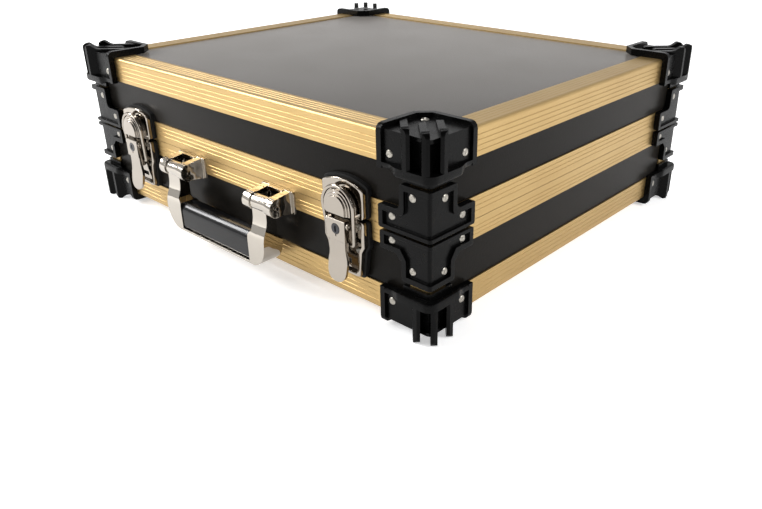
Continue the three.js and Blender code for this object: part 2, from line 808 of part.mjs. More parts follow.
function latchCatch() {
  const bossOut = latchFaceOut + bossHeight;
  const ledgeOut = bossOut + bossLedgeHeight;
  return join([
    bevelledPlate(catchOutline),
    bossStep(bossRadius, latchFaceOut - strikeFloor, bossOut),
    bossStep(bossLedgeRadius, latchFaceOut, ledgeOut),
    bossStep(bossFaceRadius, latchFaceOut, ledgeOut + bossFaceHeight),
  ]);
}

// The strike plate is a tray with two ears that carry the lever's pin
function latchStrike() {
  const channel = leverWidth / 2 + 2 * leverSideGap + earThickness;
  const earInner = leverWidth / 2 + leverSideGap;
  const slotHeight = strikeHead - strikeHeight + strikeSlotRise;
  const slot = outline([
    [-strikeSlotWidth / 2, slotHeight, strikeSlotHeight / 2],
    [strikeSlotWidth / 2, slotHeight, strikeSlotHeight / 2],
    [strikeSlotWidth / 2, slotHeight + strikeSlotHeight, strikeSlotHeight / 2],
    [-strikeSlotWidth / 2, slotHeight + strikeSlotHeight, strikeSlotHeight / 2],
  ].map(([x, height]) => [x, height]));
  const tray = cut(
    bevelledPlate(strikeOutline),
    onFront(strikeOutline(-strikeBorder), latchFloorOut, latchFaceOut + cutOverrun),
    box(-channel, channel, frontFace - latchFaceOut - cutOverrun, frontFace - latchFloorOut,
      strikeHead - latchPlateCorner - strikeBorder, strikeHead + cutOverrun),
    onFront(slot, 0, latchFaceOut));
  const ears = [-1, 1].flatMap((side) => {
    const x0 = side > 0 ? earInner : -earInner - earThickness;
    const x1 = x0 + earThickness;
    return [
      crossRod(earRadius, x0, x1, leverPinOut, leverPinHeight),
      sideways([
        [latchPadThickness, leverPinHeight - earFoot], [leverPinOut, leverPinHeight - earRadius],
        [leverPinOut, leverPinHeight + earRadius], [latchPadThickness, leverPinHeight + earRadius],
      ], x0, x1),
    ];
  });
  const pinEnd = earInner + earThickness + fitGap;
  return join([tray, ...ears, crossRod(leverPinRadius, -pinEnd, pinEnd, leverPinOut, leverPinHeight, 12)]);
}

// The lever: a lock box and cheeks on the pin, and a thumb tongue that lifts at its tip
function latchLever() {
  const half = leverWidth / 2;
  const back = leverPinOut - leverBack;
  const tongueOut = leverFrontOut - tongueStep;
  const tip = leverPinHeight - tongueDrop;
  const bend = leverPinHeight - tongueBendDrop;
  const boxFoot = leverCrown - lockBoxHeight;
  const cheekOut = tongueOut - tongueThickness;
  const block = sideways([
    [back, leverCrown, leverEdgeRadius], [leverFrontOut, leverCrown, leverEdgeRadius],
    [leverFrontOut, boxFoot, leverEdgeRadius], [cheekOut, boxFoot],
    [cheekOut, leverCrown - leverBodyHeight], [back, leverCrown - leverBodyHeight, earRadius],
  ], -half, half, 3);
  const neckTop = boxFoot + tongueStep;
  const blade = sideways([
    [tongueOut, neckTop], [tongueOut, bend, tongueBendRadius], [tongueOut + tongueTipLift, tip],
    [tongueOut + tongueTipLift - tongueThickness, tip],
    [cheekOut - fitGap, bend, tongueBendRadius], [cheekOut - fitGap, neckTop],
  ], -caseWidth, caseWidth, 3);
  const side = [
    [half - tongueNeckInset, neckTop], [tongueWaistWidth / 2, leverPinHeight - tongueWaistDrop],
    [tongueHipWidth / 2, leverPinHeight - tongueHipDrop, tongueHipRadius],
    [tongueTipWidth / 2, tip, tongueTipRadius],
  ];
  const tongue = common(blade, onFront(
    outline([...side, ...side.map(([x, ...rest]) => [-x, ...rest]).reverse()], 5), 0, caseDepth));
  const bailBore = bailWireRadius + pinClearance;
  const boreDepth = bailPinDepth + pinClearance;
  return cut(join([block, tongue]),
    crossRod(leverPinRadius + pinClearance, -leverWidth, leverWidth, leverPinOut, leverPinHeight, 12),
    crossRod(bailBore, -leverWidth, boreDepth - half, bailPinOut, bailPinHeight, 12),
    crossRod(bailBore, half - boreDepth, leverWidth, bailPinOut, bailPinHeight, 12),
    rodY(lockPlugRadius + pinClearance, frontFace - leverFrontOut - cutOverrun,
      frontFace - leverFrontOut + lockPlugDepth - lockPlugProud + pinClearance, 0, lockPlugHeight, 24),
    box(-keyTailWidth / 2, keyTailWidth / 2, frontFace - leverFrontOut - cutOverrun,
      frontFace - leverFrontOut + keywayDepth, lockPlugHeight - lockPlugRadius - keyTailLength, lockPlugHeight));
}

function lockPlug() {
  const face = frontFace - leverFrontOut - lockPlugProud;
  return cut(
    rodY(lockPlugRadius, face, face + lockPlugDepth, 0, lockPlugHeight, 24),
    box(-keywayWidth / 2, keywayWidth / 2, face - cutOverrun, face + keywayDepth,
      lockPlugHeight - keywayLength / 2, lockPlugHeight + keywayLength / 2));
}

// A path through points, with one ring of the extrusion at each of them
class PointPath extends THREE.Curve {
  constructor(points) {
    super();
    this.points = points;
  }

  getPoint(share, target = new THREE.Vector3()) {
    const place = share * (this.points.length - 1);
    const before = Math.min(Math.floor(place), this.points.length - 2);
    return target.lerpVectors(this.points[before], this.points[before + 1], place - before);
  }

  getTangent(share, target = new THREE.Vector3()) {
    const last = this.points.length - 1;
    const nearest = Math.round(share * last);
    const ahead = this.points[Math.min(nearest + 1, last)].clone().sub(this.points[nearest]).normalize();
    const behind = this.points[nearest].clone().sub(this.points[Math.max(nearest - 1, 0)]).normalize();
    return target.copy(ahead.add(behind)).normalize();
  }

  getPointAt(share, target) {
    return this.getPoint(share, target);
  }

  getTangentAt(share, target) {
    return this.getTangent(share, target);
  }
}

// The bail is one bent wire in a plane that leans out from the lever's cheeks. Its arch stands
// just in front of the boss, so that the lid can swing whether the lever is up or down.
function latchBail() {
  const pinEnd = leverWidth / 2 - bailPinDepth;
  const centre = seamHeight + bossCentreRise - bailPinHeight;
  const top = centre + bailHalfSpan;
  const lean = (bailHookOut - bailPinOut) / top;
  const flat = roundedPoints([
    [pinEnd, 0], [bailFootHalfSpan, 0, bailBendRadius],
    ...archPoints(bailHalfSpan, centre, 12),
    [-bailFootHalfSpan, 0, bailBendRadius], [-pinEnd, 0],
  ], 3);
  const points = flat.map(({ x, y }) => new THREE.Vector3(
    x, frontFace - bailPinOut - y * lean, bailPinHeight + y));
  const wire = new THREE.Shape().absarc(0, 0, bailWireRadius, 0, 2 * Math.PI);
  return toSolid(new THREE.ExtrudeGeometry(wire, {
    steps: points.length - 1, curveSegments: 4, extrudePath: new PointPath(points), bevelEnabled: false,
  }));
}

function addLatches() {
  const lidStep = lidRimFoot + lidRimWidth + fitGap;
  const baseStep = baseRimHead - baseRimWidth - fitGap;
  const pieces = {
    catch_pad: ['rubber', latchPad(catchOutline(latchPadBorder), seamHeight, lidStep)],
    catch: ['chrome', latchCatch()],
    strike_pad: ['rubber', latchPad(strikeOutline(latchPadBorder), baseStep, seamHeight)],
    strike: ['chrome', latchStrike()],
    lever: ['chrome', latchLever()],
    bail: ['chrome', latchBail()],
    lock_plug: ['lock', lockPlug()],
  };
  for (const [side, centre] of [['left', -latchCentre], ['right', latchCentre]]) {
    for (const [name, [finish, body]] of Object.entries(pieces)) {
      addPiece(`latch_${side}_${name}`, finish, toGeometry(body).translate(centre, 0, 0));
    }
  }
}

// Handle brackets: a plate, two cheeks with round noses and a bridge behind the arm's window
const handlePinHeight = seamHeight - handlePinDrop;
const handleHead = seamHeight - handlePlateDrop;

function handleBracket() {
  const half = handlePlateWidth / 2;
  const foot = handleHead - handlePlateHeight;
  const cheekIn = handleArmWidth / 2 + handleCheekGap;
  const cheekOut = cheekIn + handleCheekWidth;
  const plate = onFront(outline([
    [-half, foot, handlePlateCorner], [half, foot, handlePlateCorner],
    [half, handleHead, handlePlateCorner], [-half, handleHead, handlePlateCorner],
  ], 2), 0, handlePlateThickness);
  const web = cheekOut - handleWebInset;
  const webRadius = handleBarrelRadius - handleWebInset / 2;
  const barrels = [[-cheekOut, -cheekIn], [cheekIn, cheekOut]].map(([x0, x1]) => (
    crossRod(handleBarrelRadius, x0, x1, handlePinOut, handlePinHeight, 20)));
  const webs = [[-web, -cheekIn], [cheekIn, web]].map(([x0, x1]) => sideways([
    [0, foot], [handlePinOut, handlePinHeight - webRadius],
    [handlePinOut, handlePinHeight + webRadius], [0, handleHead],
  ], x0, x1));
  const bridge = box(-cheekIn - fitGap, cheekIn + fitGap, frontFace - handleBridgeReach, frontFace,
    handleHead - handleBridgeThickness, handleHead);
  return cut(join([plate, bridge, ...barrels, ...webs]),
    crossRod(handlePinRadius + pinClearance, -half, half, handlePinOut, handlePinHeight, 16));
}

function gripSection(border) {
  const front = handlePinOut + gripForward + border;
  const back = handlePinOut + gripForward - gripDepth - border;
  const foot = handlePinHeight - handleDrop + handleRailThickness;
  const low = border ? foot - handleRailThickness : foot + handleCheekGap;
  const high = foot + gripHeight + border;
  return [
    [back, low, gripBackRadius], [front, low, gripFootRadius],
    [front, high, gripTopRadius], [back, high, gripBackRadius],
  ];
}

// The chrome loop: arms with an eye on each pin, cups round the grip's ends and a rail under it
function handleLoop() {
  const half = handleCentre + handleArmWidth / 2;
  const window = handleCentre - handleArmWidth / 2;
  const foot = handlePinHeight - handleDrop;
  const gripTop = foot + handleRailThickness + gripHeight;
  const gripEnd = gripLength / 2 + handleCheekGap;
  const front = handlePinOut + handleArmFront;
  const back = front - handleArmDepth;
  const cupFront = handlePinOut + gripForward + gripCupWall;
  const cupBack = cupFront - gripDepth - 2 * gripCupWall;
  const middle = foot + gripHeight / 2;
  const beyond = handlePinHeight + handleDrop;
  const side = join([
    crossRod(handleEyeRadius, -half, half, handlePinOut, handlePinHeight, 20),
    sideways([
      [cupBack, middle], [cupFront, middle], [cupFront, gripTop, handleSweepRadius],
      [front, gripTop + handleSweepRise, handleSweepRadius], [front, handlePinHeight],
      [back, handlePinHeight], [back, gripTop], [cupBack, gripTop - gripBackRadius],
    ], -half, half, 4),
    sideways(gripSection(gripCupWall), -half, half),
  ]);
  const face = onFront(outline([
    [-half, foot, handleCornerRadius], [half, foot, handleCornerRadius], [half, beyond], [-half, beyond],
  ], 6), 0, caseDepth);
  const opening = onFront(outline([
    [-gripEnd, foot + handleRailThickness], [gripEnd, foot + handleRailThickness], [gripEnd, gripTop],
    [window, gripTop + handleShoulder], [window, beyond], [-window, beyond],
    [-window, gripTop + handleShoulder], [-gripEnd, gripTop],
  ]), 0, caseDepth);
  const bore = crossRod(handlePinRadius + pinClearance, -caseWidth, caseWidth,
    handlePinOut, handlePinHeight, 16);
  return cut(common(side, face), opening, bore);
}

function addHandle() {
  const bracket = handleBracket();
  const pinHalf = handleArmWidth / 2 + handleCheekGap + handleCheekWidth;
  const pin = crossRod(handlePinRadius, -pinHalf, pinHalf, handlePinOut, handlePinHeight, 16);
  for (const [side, centre] of [['left', -handleCentre], ['right', handleCentre]]) {
    addPiece(`handle_bracket_${side}`, 'chrome', toGeometry(bracket).translate(centre, 0, 0));
    addPiece(`handle_pin_${side}`, 'chrome', toGeometry(pin).translate(centre, 0, 0));
  }
  addPiece('handle_loop', 'chrome', toGeometry(handleLoop()));
  addPiece('handle_grip', 'grip',
    toGeometry(sideways(gripSection(0), -gripLength / 2, gripLength / 2)));
}

// Butt hinges, made on the front like the rest and turned to the back
function hingeLeaf(isLid) {
  const half = hingeLeafWidth / 2;
  const sign = isLid ? 1 : -1;
  const near = (isLid ? lidRimFoot : baseRimHead) + sign * hingeLeafGap;
  const far = near + sign * (isLid ? hingeLidLeafHeight : hingeBaseLeafHeight);
  const knuckle = hingeKnuckleWidth / 2;
  const spans = isLid
    ? [[hingeKnuckleGap - knuckle, knuckle - hingeKnuckleGap]]
    : [[-half, -knuckle], [knuckle, half]];
  const leaf = onFront(outline([
    [-half, near], [half, near], [half, far, hingeLeafCorner], [-half, far, hingeLeafCorner],
  ], 2), 0, hingeLeafThickness);
  const knuckles = spans.flatMap(([x0, x1]) => [
    crossRod(hingeKnuckleRadius, x0, x1, hingePinOut, seamHeight, 16),
    sideways([
      [0, near], [hingePinOut, seamHeight], [hingePinOut, seamHeight + sign * hingeKnuckleRadius],
      [hingeLeafThickness, near + sign * hingeKnuckleRadius], [0, near + sign * hingeKnuckleRadius],
    ], x0, x1),
  ]);
  return cut(join([leaf, ...knuckles]),
    crossRod(hingePinRadius + pinClearance, -half - cutOverrun, half + cutOverrun,
      hingePinOut, seamHeight, 12));
}

function addHinges() {
  const pinHalf = hingeLeafWidth / 2 + hingePinHead;
  const pieces = {
    lid_leaf: hingeLeaf(true),
    base_leaf: hingeLeaf(false),
    pin: crossRod(hingePinRadius, -pinHalf, pinHalf, hingePinOut, seamHeight, 12),
  };
  for (const [side, centre] of [['left', -hingeCentre], ['right', hingeCentre]]) {
    for (const [name, body] of Object.entries(pieces)) {
      addPiece(`hinge_${side}_${name}`, 'chrome',
        toGeometry(body).rotateZ(Math.PI).translate(centre, 0, 0));
    }
  }
}

addPanels();
addLinings();
addTrims();
addStackingCorners();
addSeamBrackets();
addLatches();
addHandle();
addHinges();

// The origin is the middle of the whole part's outline, on the surface that it stands on
group.updateMatrixWorld(true);
const bounds = new THREE.Box3().setFromObject(group);
const middle = bounds.getCenter(new THREE.Vector3());
group.position.set(-middle.x, -middle.y, -bounds.min.z);

export default group;
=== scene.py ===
# The looks of a low stackable case: black laminate panels in gold anodised extrusions, finned
# corner mouldings, chrome draw latches and a drop handle, on a pale floor in soft studio light.
# Metres, +X to the case's right, -Y to its front, +Z up.
import json
import math
import bmesh
import bpy
from mathutils import Matrix, Vector


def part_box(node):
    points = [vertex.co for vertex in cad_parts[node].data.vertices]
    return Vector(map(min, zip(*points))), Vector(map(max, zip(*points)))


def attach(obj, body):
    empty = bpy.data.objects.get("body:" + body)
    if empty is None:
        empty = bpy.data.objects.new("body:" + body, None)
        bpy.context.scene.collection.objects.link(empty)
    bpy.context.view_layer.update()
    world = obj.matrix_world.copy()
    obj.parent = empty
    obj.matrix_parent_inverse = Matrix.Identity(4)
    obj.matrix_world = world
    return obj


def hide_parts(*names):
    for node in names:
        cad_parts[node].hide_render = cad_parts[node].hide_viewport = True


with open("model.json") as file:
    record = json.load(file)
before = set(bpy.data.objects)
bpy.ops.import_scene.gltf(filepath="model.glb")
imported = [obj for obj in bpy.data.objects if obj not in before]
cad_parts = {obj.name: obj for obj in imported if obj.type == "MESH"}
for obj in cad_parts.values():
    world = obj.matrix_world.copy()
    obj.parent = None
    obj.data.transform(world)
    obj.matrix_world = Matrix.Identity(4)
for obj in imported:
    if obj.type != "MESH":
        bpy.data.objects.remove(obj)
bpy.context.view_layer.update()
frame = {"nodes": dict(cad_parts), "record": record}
nodes = frame["nodes"]
scene = bpy.context.scene
mm = 0.001

# Places that the frame gives: the box of the extrusions, the seam and the middle of the case
bottomFrame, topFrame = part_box("base_edge_frame"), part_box("lid_edge_frame")
trimHigh = topFrame[1].z
trimLow = bottomFrame[0].z
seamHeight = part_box("lid_rim_frame")[0].z
halfWidth = topFrame[1].x
frontFace = topFrame[0].y
backFace = topFrame[1].y
middleDepth = (frontFace + backFace) / 2
halfDepth = (backFace - frontFace) / 2


# Colours are written as sRGB hex and turned to linear light
def linear(hexColour):
    def channel(start):
        value = int(hexColour[start:start + 2], 16) / 255
        return value / 12.92 if value <= 0.04045 else ((value + 0.055) / 1.055) ** 2.4

    return (channel(1), channel(3), channel(5), 1.0)


# A noise scale whose patches are about so many millimetres across
def perSize(millimetres):
    return 1 / (millimetres * mm)


# An input is a plain value, a socket, or a node whose first output is meant
def setInputs(tree, node, inputs):
    for socket, value in inputs.items():
        if isinstance(value, bpy.types.Node):
            value = value.outputs[0]
        if isinstance(value, bpy.types.NodeSocket):
            tree.links.new(value, node.inputs[socket])
        else:
            node.inputs[socket].default_value = value


def addNode(tree, kind, inputs, stops=(), **settings):
    node = tree.nodes.new(kind)
    for name, value in settings.items():
        setattr(node, name, value)
    for index, (position, hexColour) in enumerate(stops):
        node.color_ramp.elements[index].position = position
        node.color_ramp.elements[index].color = linear(hexColour)
    setInputs(tree, node, inputs)
    return node


def newMaterial(name, settings):
    material = bpy.data.materials.new(name)
    material.use_nodes = True
    tree = material.node_tree
    surface = tree.nodes["Principled BSDF"]
    setInputs(tree, surface, settings)
    place = addNode(tree, "ShaderNodeTexCoord", {}).outputs["Object"]
    return material, tree, surface, place


# Nearly all values of a noise texture lie between these two
noiseLow = 0.3
noiseHigh = 0.7


# One noise sets the tone, one the roughness and one the relief of a finish. Its depth is in
# millimetres, and relief says how strongly it shows.
def dressSurface(tree, surface, finish, tone, polish, relief):
    setInputs(tree, surface, {
        "Base Color": addNode(tree, "ShaderNodeValToRGB", {"Fac": tone},
                              stops=[(noiseLow, finish["dark"]), (noiseHigh, finish["light"])]),
        "Roughness": addNode(tree, "ShaderNodeMapRange", {
            "Value": polish, "From Min": noiseLow, "From Max": noiseHigh,
            "To Min": finish["smooth"], "To Max": finish["rough"]}),
        "Normal": addNode(tree, "ShaderNodeBump", {
            "Height": relief, "Distance": finish["depth"] * mm, "Strength": finish["relief"]}),
    })


# Phenol laminate pressed against a textured plate: nearly black, with a pale bloom at low
# angles, an orange peel that blurs what it mirrors, and patches that handling has rubbed
# smoother. The peel, really about 0.4 mm across, is drawn at 1.2 mm so that it shows.
laminate = {
    "dark": "#0a0806",
    "light": "#0f0d0a",
    "smooth": 0.2,
    "rough": 0.27,
    "refraction": 1.5,
    "gloss": 0.04,
    "bloom": 0.54,
    "bloomRough": 0.3,
    "bloomTint": "#f6efe8",
    "peelSize": 1.2,
    "depth": 0.22,
    "relief": 0.5,
    "patchSize": 70,
}


def pressedLaminate():
    material, tree, surface, place = newMaterial("pressed_black_laminate", {
        "IOR": laminate["refraction"], "Specular IOR Level": laminate["gloss"],
        "Sheen Weight": laminate["bloom"], "Sheen Roughness": laminate["bloomRough"],
        "Sheen Tint": linear(laminate["bloomTint"])})
    peel = addNode(tree, "ShaderNodeTexNoise", {
        "Vector": place, "Scale": perSize(laminate["peelSize"]), "Detail": 2.0})
    rubbed = addNode(tree, "ShaderNodeTexNoise", {
        "Vector": place, "Scale": perSize(laminate["patchSize"]), "Detail": 4.0})
    dressSurface(tree, surface, laminate, rubbed, rubbed, peel)
    return material


# Extruded aluminium, etched and anodised champagne gold: satin, with die lines along each
# length that vary only across the profile, and a tone that drifts a little along a bar
extrusion = {
    "dark": "#ac905f",
    "light": "#b39867",
    "smooth": 0.4,
    "rough": 0.45,
    "lineSize": 0.35,
    "depth": 0.0006,
    "relief": 0.2,
    "patchSize": 60,
}


def anodisedExtrusion():
    material, tree, surface, place = newMaterial("champagne_anodised_aluminium", {"Metallic": 1.0})
    parts = addNode(tree, "ShaderNodeSeparateXYZ", {"Vector": place})
    fromMiddle = addNode(tree, "ShaderNodeMath", {
        0: parts.outputs["Y"], 1: middleDepth}, operation="SUBTRACT")
    sideways = addNode(tree, "ShaderNodeMath", {0: parts.outputs["X"]}, operation="ABSOLUTE")
    lengthways = addNode(tree, "ShaderNodeMath", {0: fromMiddle}, operation="ABSOLUTE")
    fromSide = addNode(tree, "ShaderNodeMath", {0: halfWidth, 1: sideways}, operation="SUBTRACT")
    fromFront = addNode(tree, "ShaderNodeMath", {0: halfDepth, 1: lengthways}, operation="SUBTRACT")
    across = addNode(tree, "ShaderNodeMath", {0: fromSide, 1: fromFront}, operation="MINIMUM")
    profile = addNode(tree, "ShaderNodeCombineXYZ", {"X": across, "Y": parts.outputs["Z"]})
    lines = addNode(tree, "ShaderNodeTexNoise", {
        "Vector": profile, "Scale": perSize(extrusion["lineSize"]), "Detail": 2.0})
    drift = addNode(tree, "ShaderNodeTexNoise", {
        "Vector": place, "Scale": perSize(extrusion["patchSize"]), "Detail": 3.0})
    dressSurface(tree, surface, extrusion, drift, lines, lines)
    return material


# Glass filled nylon moulded in a spark eroded tool: near black, with a soft gloss broken by a
# fine grain, a little smoother where hands rub it. The grain, really 0.1 mm, is drawn at
# 0.8 mm so that it shows.
moulding = {
    "dark": "#040404",
    "light": "#080808",
    "smooth": 0.2,
    "rough": 0.3,
    "refraction": 1.53,
    "gloss": 0.06,
    "grainSize": 0.8,
    "depth": 0.22,
    "relief": 0.5,
    "handledSize": 18,
}


def mouldedCorner():
    material, tree, surface, place = newMaterial("moulded_black_nylon", {
        "IOR": moulding["refraction"], "Specular IOR Level": moulding["gloss"]})
    grain = addNode(tree, "ShaderNodeTexNoise", {
        "Vector": place, "Scale": perSize(moulding["grainSize"]), "Detail": 2.0})
    handled = addNode(tree, "ShaderNodeTexNoise", {
        "Vector": place, "Scale": perSize(moulding["handledSize"]), "Detail": 3.0})
    dressSurface(tree, surface, moulding, handled, handled, grain)
    return material


# Metal finishes, each nearly even: a ripple that bends what it mirrors, faint on pressed plate
# and plain to see on the handle's polished castings, and smears that dull it a little
metals = {
    "chrome": {"name": "polished_chrome_plate", "colour": "#928b82", "smooth": 0.03, "rough": 0.09,
               "depth": 0.07, "rippleSize": 7, "smearSize": 9},
    "castChrome": {"name": "chromed_zinc_casting", "colour": "#a39d94", "smooth": 0.03, "rough": 0.08,
                   "depth": 0.4, "rippleSize": 14, "smearSize": 9},
    "bracketChrome": {"name": "chromed_bracket_casting", "colour": "#a39d94", "smooth": 0.03,
                      "rough": 0.1, "depth": 0.9, "rippleSize": 12, "smearSize": 9, "lean": 0.22},
    "rivet": {"name": "burnished_nickel_rivet", "colour": "#98948c", "smooth": 0.28, "rough": 0.4,
              "depth": 0.006, "rippleSize": 1.2, "smearSize": 3},
    "lock": {"name": "blackened_steel_lock", "colour": "#3a3a3c", "smooth": 0.22, "rough": 0.36,
             "depth": 0.006, "rippleSize": 1.5, "smearSize": 3},
}
rippleRelief = 0.5


# The cheeks of the cast brackets are straight in the solid. Only their shading leans forward, as
# the taper of a real casting does, so that they mirror what stands before the case.
def castLean(tree, lean):
    facing = addNode(tree, "ShaderNodeNewGeometry", {}).outputs["Normal"]
    sideways = addNode(tree, "ShaderNodeSeparateXYZ", {"Vector": facing}).outputs["X"]
    cheek = addNode(tree, "ShaderNodeMath", {0: sideways}, operation="ABSOLUTE")
    forward = addNode(tree, "ShaderNodeMath", {0: cheek, 1: -lean}, operation="MULTIPLY")
    tilt = addNode(tree, "ShaderNodeCombineXYZ", {"Y": forward})
    leaning = addNode(tree, "ShaderNodeVectorMath", {0: facing, 1: tilt}, operation="ADD")
    return addNode(tree, "ShaderNodeVectorMath", {0: leaning}, operation="NORMALIZE")


def brightMetal(finish):
    material, tree, surface, place = newMaterial(finish["name"], {
        "Metallic": 1.0, "Base Color": linear(finish["colour"])})
    smear = addNode(tree, "ShaderNodeTexNoise", {
        "Vector": place, "Scale": perSize(finish["smearSize"]), "Detail": 4.0})
    wave = addNode(tree, "ShaderNodeTexNoise", {
        "Vector": place, "Scale": perSize(finish["rippleSize"]), "Detail": 1.0})
    relief = addNode(tree, "ShaderNodeBump", {
        "Height": wave, "Distance": finish["depth"] * mm, "Strength": rippleRelief})
    if "lean" in finish:
        setInputs(tree, relief, {"Normal": castLean(tree, finish["lean"])})
    setInputs(tree, surface, {
        "Roughness": addNode(tree, "ShaderNodeMapRange", {
            "Value": smear, "From Min": noiseLow, "From Max": noiseHigh,
            "To Min": finish["smooth"], "To Max": finish["rough"]}),
        "Normal": relief,
    })
    return material


# Soft dark finishes, each with a fine grain in relief and slow patches of tone and gloss: matt
# cut rubber, a satin grip and felt
softFinishes = {
    "rubber": {"name": "cut_rubber_sheet", "dark": "#0c0c0c", "light": "#151515",
               "smooth": 0.6, "rough": 0.75, "gloss": 0.2,
               "grainSize": 0.4, "depth": 0.04, "relief": 0.5, "patchSize": 6},
    "grip": {"name": "satin_moulded_grip", "dark": "#0b0b0c", "light": "#121213",
             "smooth": 0.16, "rough": 0.2, "gloss": 0.16,
             "grainSize": 0.6, "depth": 0.004, "relief": 0.5, "patchSize": 14},
    "foam": {"name": "felt_on_foam", "dark": "#2b2b2e", "light": "#303033",
             "smooth": 0.9, "rough": 0.98, "gloss": 0.3,
             "grainSize": 0.8, "depth": 0.5, "relief": 0.5, "patchSize": 30},
}
softRefraction = 1.5


def softFinish(finish):
    material, tree, surface, place = newMaterial(finish["name"], {
        "IOR": softRefraction, "Specular IOR Level": finish["gloss"]})
    grain = addNode(tree, "ShaderNodeTexNoise", {
        "Vector": place, "Scale": perSize(finish["grainSize"]), "Detail": 4.0})
    patches = addNode(tree, "ShaderNodeTexNoise", {
        "Vector": place, "Scale": perSize(finish["patchSize"]), "Detail": 3.0})
    dressSurface(tree, surface, finish, patches, patches, grain)
    return material


materials = {
    "laminate": pressedLaminate(),
    "extrusion": anodisedExtrusion(),
    "moulding": mouldedCorner(),
}
for slot, finish in metals.items():
    materials[slot] = brightMetal(finish)
for slot, finish in softFinishes.items():
    materials[slot] = softFinish(finish)
print("materials made", len(materials))


# Each CAD node takes the material of its slot, with its edges eased by so many millimetres
# and its flat faces kept flat. The extrusions stay crisp, so that each groove draws a clean line,
# and the handle's castings, a loop and two brackets, are rounder than pressed plate.
edgeEase = {
    "laminate": 0.3,
    "moulding": 0.75,
    "chrome": 0.35,
    "rubber": 0.3,
    "grip": 0.4,
    "lock": 0.15,
    "foam": 0.5,
    "handle_loop": 1.2,
    "handle_bracket_left": 0.9,
    "handle_bracket_right": 0.9,
}
castNodes = {
    "handle_loop": "castChrome",
    "handle_bracket_left": "bracketChrome",
    "handle_bracket_right": "bracketChrome",
}
# Points nearer than the weld distance are joined first, so that a bevel runs on unbroken
easing = {
    "weldDistance": 0.005,
    "segments": 3,
    "bevelFromDegrees": 34,
}


def easeEdges(piece, width):
    if "custom_normal" in piece.data.attributes:
        piece.data.attributes.remove(piece.data.attributes["custom_normal"])
    piece.data.polygons.foreach_set("use_smooth", [width > 0] * len(piece.data.polygons))
    if not width:
        return
    weld = piece.modifiers.new("weld", "WELD")
    weld.merge_threshold = easing["weldDistance"] * mm
    bevel = piece.modifiers.new("eased edges", "BEVEL")
    bevel.width = width * mm
    bevel.segments = easing["segments"]
    bevel.limit_method = "ANGLE"
    bevel.angle_limit = math.radians(easing["bevelFromDegrees"])
    even = piece.modifiers.new("even shading", "WEIGHTED_NORMAL")
    even.keep_sharp = True


for part in frame["record"]["subparts"]:
    piece, slot = nodes[part["node"]], part["material_slot"]
    piece.data.materials.clear()
    piece.data.materials.append(materials[castNodes.get(part["node"], slot)])
    easeEdges(piece, edgeEase.get(part["node"], edgeEase.get(slot, 0)))
print("nodes finished", len(nodes))


def newPiece(name, shell, material):
    for face in shell.faces:
        face.smooth = True
    mesh = bpy.data.meshes.new(name)
    shell.to_mesh(mesh)
    shell.free()
    mesh.materials.append(material)
    piece = bpy.data.objects.new(name, mesh)
    scene.collection.objects.link(piece)
    return piece


# Rivets: a turned head with a dimple in its middle, the same for all
rivetHead = {
    "radius": 3.1,
    "height": 0.9,
    "domePower": 3,
    "dimpleRadius": 1.2,
    "dimpleDepth": 0.55,
    "dimplePower": 4,
    "rings": 9,
    "sides": 24,
}


def addRivet(name, place, outward, body, scale=1.0):
    sides = rivetHead["sides"]
    turns = [2 * math.pi * side / sides for side in range(sides)]
    upright = Vector(outward).to_track_quat("Z", "Y").to_matrix().to_4x4()
    seat = Matrix.Translation(place) @ upright @ Matrix.Scale(scale * mm, 4)
    shell = bmesh.new()
    rings = []
    for ring in range(rivetHead["rings"]):
        share = ring / (rivetHead["rings"] - 1)
        distance = rivetHead["radius"] * share
        dome = rivetHead["height"] * math.sqrt(1 - share ** rivetHead["domePower"])
        inward = (distance / rivetHead["dimpleRadius"]) ** rivetHead["dimplePower"]
        height = dome - rivetHead["dimpleDepth"] * math.exp(-inward)
        spots = [(0, 0)]
        if ring:
            spots = [(distance * math.cos(turn), distance * math.sin(turn)) for turn in turns]
        rings.append([shell.verts.new(seat @ Vector((x, y, height))) for x, y in spots])
    for inner, outer in zip(rings, rings[1:]):
        for side in range(sides):
            after = (side + 1) % sides
            corners = [inner[side % len(inner)], outer[side], outer[after]]
            if len(inner) > 1:
                corners.append(inner[after])
            shell.faces.new(corners)
    rivet = newPiece(name, shell, materials["rivet"])
    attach(rivet, body)


# Rivets in the corners, in millimetres inboard from the corner and down from the top trim.
# Each wall rivet stands on the front or back and again on the side, the same way in.
cornerRivets = {
    "corners": {
        "front_right": (1, -1),
        "front_left": (-1, -1),
        "back_right": (1, 1),
        "back_left": (-1, 1),
    },
    "wallProud": 3.2,
    "plateProud": 2.8,
    "wallInboard": 33.4,
    "wallFromTrim": 14.0,
    "plateInboard": 31.5,
    "lidBracket": [(12.6, 41.0), (32.1, 59.4)],
    "baseBracket": [(32.4, 78.3), (12.8, 97.2)],
}


def addWallRivets(name, signX, signY, inboard, height, body):
    proud = cornerRivets["wallProud"] * mm
    y = middleDepth + signY * halfDepth
    addRivet(f"{name}_front", (signX * (halfWidth - inboard * mm), y + signY * proud, height),
             (0, signY, 0), body)
    addRivet(f"{name}_side", (signX * (halfWidth + proud), y - signY * inboard * mm, height),
             (signX, 0, 0), body)


